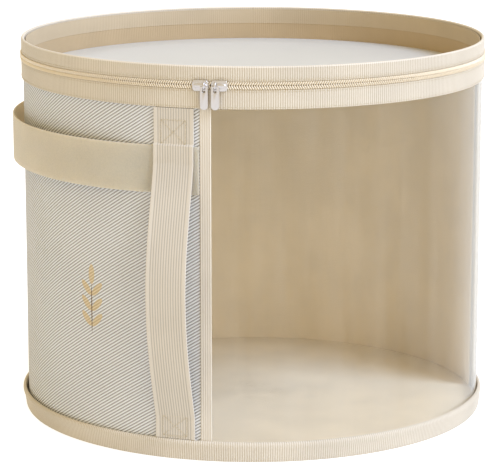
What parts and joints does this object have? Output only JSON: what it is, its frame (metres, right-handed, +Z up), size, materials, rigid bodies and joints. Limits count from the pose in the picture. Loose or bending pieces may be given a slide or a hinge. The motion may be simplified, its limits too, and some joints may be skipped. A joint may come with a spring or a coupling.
{
  "type": "hat box",
  "caption": "Round soft-sided storage box with a zipped sunk lid on a cloth hinge, a clear curved window, a bowed webbing handle and a side strap.",
  "frame": {"origin": "middle of the underside, where the box stands", "axes": "+Z up; -Y to the front, with the zip sliders just left of it; +X to the right, with the window to the front right"},
  "size_m": [0.4104, 0.4181, 0.3248],
  "materials": {
    "grosgrain": "ribbed grosgrain, matt",
    "twill": "coated diagonal weave, matt",
    "lining_cloth": "plain weave, matt",
    "stiff_board": "satin sheet",
    "clear_vinyl": "clear, glossy",
    "milky_vinyl": "milky, semi-gloss",
    "webbing": "lengthwise ribbed webbing, matt",
    "spring_steel": "bright rolled strip",
    "zip_tape": "woven tape, matt",
    "zip_coil": "nylon coil, satin",
    "zip_metal": "pearly plated zinc"
  },
  "bodies": {
    "box_body": {"base_band": "grosgrain", "base_hoop": "spring_steel", "base_cover": "twill", "base_board": "stiff_board", "base_lining": "lining_cloth", "side_wall": "twill", "back_wall": "twill", "window_pane": "clear_vinyl", "wall_board": "stiff_board", "wall_lining": "lining_cloth", "window_binding_left": "grosgrain", "window_binding_right": "grosgrain", "back_seam_binding": "grosgrain", "body_band": "grosgrain", "body_hoop": "spring_steel", "body_zip_tape": "zip_tape", "body_zip_coil": "zip_coil", "zip_stop_left": "zip_metal", "zip_stop_right": "zip_metal", "hinge_cloth_body": "grosgrain", "side_strap": "webbing", "handle_top_end": "webbing", "handle_bottom_end": "webbing"},
    "lid": {"lid_band": "grosgrain", "lid_hoop": "spring_steel", "lid_facing": "grosgrain", "lid_panel": "milky_vinyl", "lid_zip_tape": "zip_tape", "lid_zip_coil": "zip_coil", "hinge_cloth_lid": "grosgrain"},
    "handle": {"handle_grip": "webbing"},
    "slider_left_body": {"slider_left": "zip_metal"},
    "slider_right_body": {"slider_right": "zip_metal"},
    "pull_left_body": {"pull_left": "zip_metal"},
    "pull_right_body": {"pull_right": "zip_metal"}
  },
  "joints": [
    {"name": "lid_hinge", "type": "hinge", "parent": "box_body", "child": "lid", "pos_m": [0, 0.2012, 0.3093], "axis": [-1, 0, 0], "range_deg": [0, 180]},
    {"name": "handle_swing", "type": "hinge", "parent": "box_body", "child": "handle", "pos_m": [-0.06274, -0.18854, 0.135], "axis": [0, 0, 1], "range_deg": [-20, 20]},
    {"name": "slider_left_run", "type": "hinge", "parent": "box_body", "child": "slider_left_body", "pos_m": [0, 0, 0.3093], "axis": [0, 0, 1], "range_deg": [-153.4, 0]},
    {"name": "slider_right_run", "type": "hinge", "parent": "box_body", "child": "slider_right_body", "pos_m": [0, 0, 0.3093], "axis": [0, 0, 1], "range_deg": [0, 172.8]},
    {"name": "pull_left_lift", "type": "hinge", "parent": "slider_left_body", "child": "pull_left_body", "pos_m": [-0.03864, -0.19952, 0.30848], "axis": [-0.9786, 0.2058, 0], "range_deg": [0, 175]},
    {"name": "pull_right_lift", "type": "hinge", "parent": "slider_right_body", "child": "pull_right_body", "pos_m": [-0.02983, -0.20103, 0.30848], "axis": [-0.9914, 0.1309, 0], "range_deg": [0, 175]}
  ]
}
